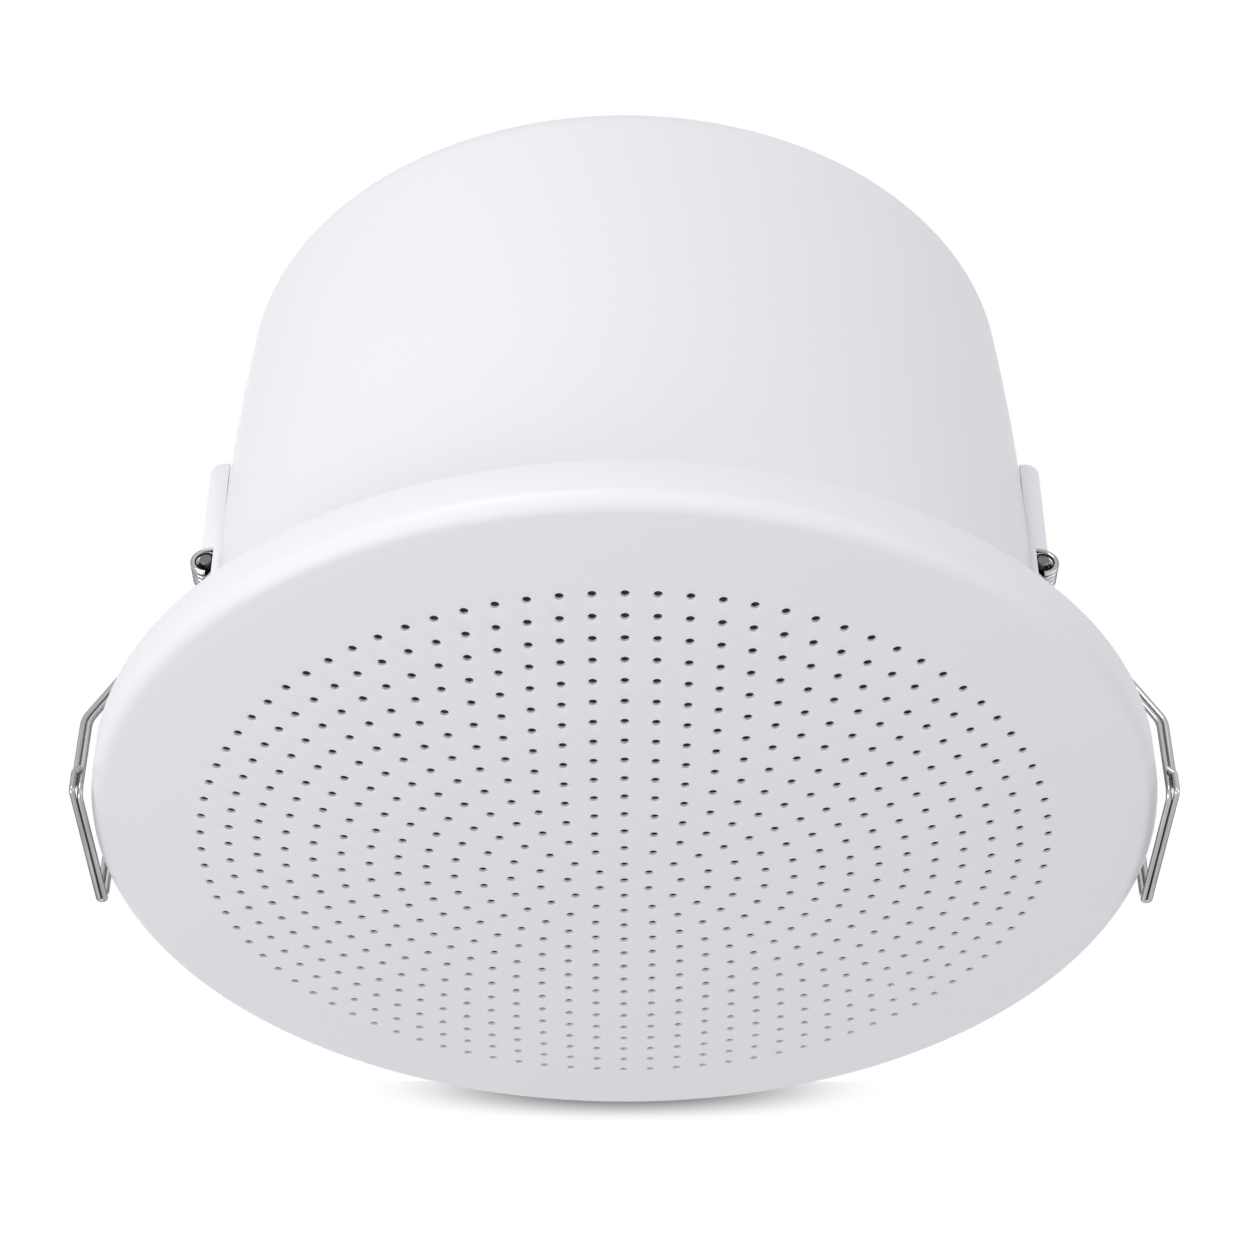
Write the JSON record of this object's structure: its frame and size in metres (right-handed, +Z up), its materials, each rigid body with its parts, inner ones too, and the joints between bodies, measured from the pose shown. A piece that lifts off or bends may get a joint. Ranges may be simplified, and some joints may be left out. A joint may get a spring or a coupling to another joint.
{
  "type": "in ceiling speaker",
  "caption": "Round in-ceiling loudspeaker: domed perforated grille, steel back can and sprung wire clips that fold up to pass the ceiling cut-out.",
  "frame": {"origin": "centre of the ceiling plane, where the rim meets the underside of the ceiling", "axes": "+Z up into the ceiling void, the grille faces -Z, the clips stand at -X and +X"},
  "size_m": [0.2348, 0.23, 0.1484],
  "materials": {
    "white_paint": "satin white powder coat on sheet steel",
    "bright_steel": "drawn spring wire, bright",
    "zinc_steel": "zinc-plated",
    "black_paint": "semi-matt black",
    "black_cloth": "open-weave polyester",
    "black_foam": "closed-cell, matt",
    "black_rubber": "moulded, matt",
    "paper": "pressed paper pulp, matt",
    "amber_cloth": "resin-dipped cotton",
    "copper": "enamelled copper on a thin former",
    "ferrite": "sintered, matt",
    "brown_board": "laminated paper board",
    "tinned_brass": "tinned",
    "lamination": "varnished steel sheets",
    "yellow_tape": "taped winding",
    "ceramic": "unglazed steatite"
  },
  "bodies": {
    "speaker": {"grille": "white_paint", "acoustic_cloth": "black_cloth", "mounting_ring": "white_paint", "back_can": "white_paint", "can_screws": "zinc_steel", "driver_gasket": "black_foam", "driver_frame": "black_paint", "driver_screws": "zinc_steel", "surround": "black_rubber", "spider": "amber_cloth", "top_plate": "zinc_steel", "magnet": "ferrite", "yoke": "zinc_steel", "tag_board": "brown_board", "solder_tags": "tinned_brass", "transformer_core": "lamination", "transformer_winding": "yellow_tape", "transformer_strap": "zinc_steel", "transformer_screws": "zinc_steel", "terminal_block": "ceramic", "clamp_screws": "tinned_brass", "block_screw": "zinc_steel", "cable_grommets": "black_rubber", "left_clip_bracket": "white_paint", "left_clip_pin": "bright_steel", "left_clip_rivets": "white_paint", "left_clip_coils": "bright_steel", "right_clip_bracket": "white_paint", "right_clip_pin": "bright_steel", "right_clip_rivets": "white_paint", "right_clip_coils": "bright_steel"},
    "left_clip": {"left_clip_legs": "bright_steel", "left_clip_bail": "bright_steel"},
    "right_clip": {"right_clip_legs": "bright_steel", "right_clip_bail": "bright_steel"},
    "cone": {"cone": "paper", "dust_cap": "paper", "voice_coil": "copper"}
  },
  "joints": [
    {"name": "left_clip_swing", "type": "hinge", "parent": "speaker", "child": "left_clip", "pos_m": [-0.09405, 0, 0.0526], "axis": [0, 1, 0], "range_deg": [0, 150], "stiffness_Nm_per_rad": 0.25, "springref_deg": -34.38},
    {"name": "right_clip_swing", "type": "hinge", "parent": "speaker", "child": "right_clip", "pos_m": [0.09405, 0, 0.0526], "axis": [0, -1, 0], "range_deg": [0, 150], "stiffness_Nm_per_rad": 0.25, "springref_deg": -34.38},
    {"name": "cone_travel", "type": "slide", "parent": "speaker", "child": "cone", "axis": [0, 0, 1], "range_m": [-0.002, 0.002], "stiffness_N_per_m": 1800, "deforming": ["surround", "spider"]}
  ]
}
